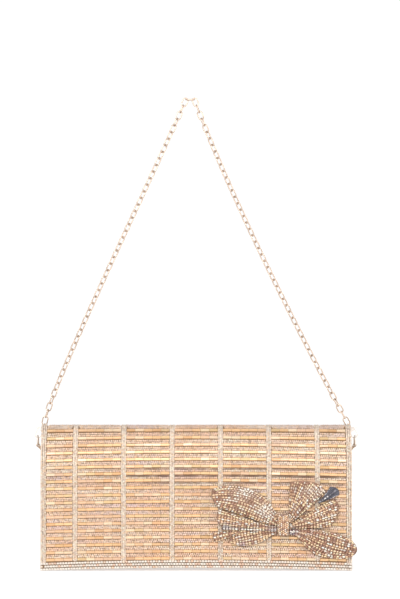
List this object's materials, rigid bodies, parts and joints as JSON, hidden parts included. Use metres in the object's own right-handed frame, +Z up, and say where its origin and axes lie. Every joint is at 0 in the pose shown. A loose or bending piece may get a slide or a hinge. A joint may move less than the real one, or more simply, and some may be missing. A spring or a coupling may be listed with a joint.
{
  "type": "evening bag",
  "caption": "Beaded evening bag with a fold-over magnetic flap, a beaded bow and a clip-on cable-chain strap.",
  "frame": {"origin": "middle of the strap's top link, where the bag hangs", "axes": "+X to the viewer's right as the bag is seen from the front, +Y away from the viewer, +Z up"},
  "size_m": [0.2944, 0.0451, 0.4274],
  "materials": {
    "rose_gold": "polished, pale rose-gold plating",
    "steel": "plain",
    "satin": "satin weave",
    "dark_satin": "satin weave",
    "lining": "plain weave",
    "board": "matte",
    "gold_bugles": "gold-lined glass, glossy",
    "rose_seeds": "rose-lined glass, glossy",
    "silver_seeds": "silver-lined glass, glossy",
    "beaded_ribbon": "netting sewn over with glass beads",
    "netting": "open mesh"
  },
  "bodies": {
    "strap": {"apex_link": "rose_gold", "left_links": "rose_gold", "right_links": "rose_gold", "left_jump_ring": "rose_gold", "right_jump_ring": "rose_gold", "left_clasp": "rose_gold", "right_clasp": "rose_gold", "left_gate_pin": "steel", "right_gate_pin": "steel", "left_gate_spring": "steel", "right_gate_spring": "steel"},
    "left_gate": {"left_gate": "rose_gold"},
    "right_gate": {"right_gate": "rose_gold"},
    "bag": {"back_panel": "satin", "front_panel": "satin", "base_panel": "satin", "left_gusset": "satin", "right_gusset": "satin", "back_board": "board", "front_board": "board", "base_board": "board", "body_lining": "lining", "slip_pocket": "lining", "mouth_binding": "dark_satin", "hinge_tape": "lining", "body_magnet": "steel", "left_ring_tab": "satin", "right_ring_tab": "satin"},
    "left_d_ring": {"left_d_ring": "rose_gold"},
    "right_d_ring": {"right_d_ring": "rose_gold"},
    "flap": {"flap_ground": "dark_satin", "flap_board": "board", "flap_lining": "lining", "flap_magnet": "steel", "bugle_rows": "gold_bugles", "seed_rows": "rose_seeds", "pale_columns": "silver_seeds", "side_borders": "rose_seeds", "hem_border": "rose_seeds", "bow_left_loop": "beaded_ribbon", "bow_right_loop": "beaded_ribbon", "bow_left_tail": "beaded_ribbon", "bow_right_tail": "beaded_ribbon", "bow_netting": "netting", "bow_knot": "beaded_ribbon"}
  },
  "joints": [
    {"name": "bag_swing", "type": "hinge", "parent": "strap", "child": "bag", "pos_m": [0.0056, 0, -0.3105], "axis": [1, 0, 0], "range_deg": [0, 90]},
    {"name": "flap_fold", "type": "hinge", "parent": "bag", "child": "flap", "pos_m": [0.0056, -0.0079, -0.2945], "axis": [-1, 0, 0], "range_deg": [0, 135]},
    {"name": "left_d_ring_turn", "type": "hinge", "parent": "bag", "child": "left_d_ring", "pos_m": [-0.1387, 0, -0.3145], "axis": [0, 1, 0], "range_deg": [-4, 4]},
    {"name": "right_d_ring_turn", "type": "hinge", "parent": "bag", "child": "right_d_ring", "pos_m": [0.1499, 0, -0.3145], "axis": [0, 1, 0], "range_deg": [-4, 4]},
    {"name": "left_gate_turn", "type": "hinge", "parent": "strap", "child": "left_gate", "pos_m": [-0.13795, 0, -0.29991], "axis": [0, -1, 0], "range_deg": [0, 50], "stiffness_Nm_per_rad": 0.002, "springref_deg": -17.19},
    {"name": "right_gate_turn", "type": "hinge", "parent": "strap", "child": "right_gate", "pos_m": [0.14915, 0, -0.29991], "axis": [0, 1, 0], "range_deg": [0, 50], "stiffness_Nm_per_rad": 0.002, "springref_deg": -17.19}
  ]
}
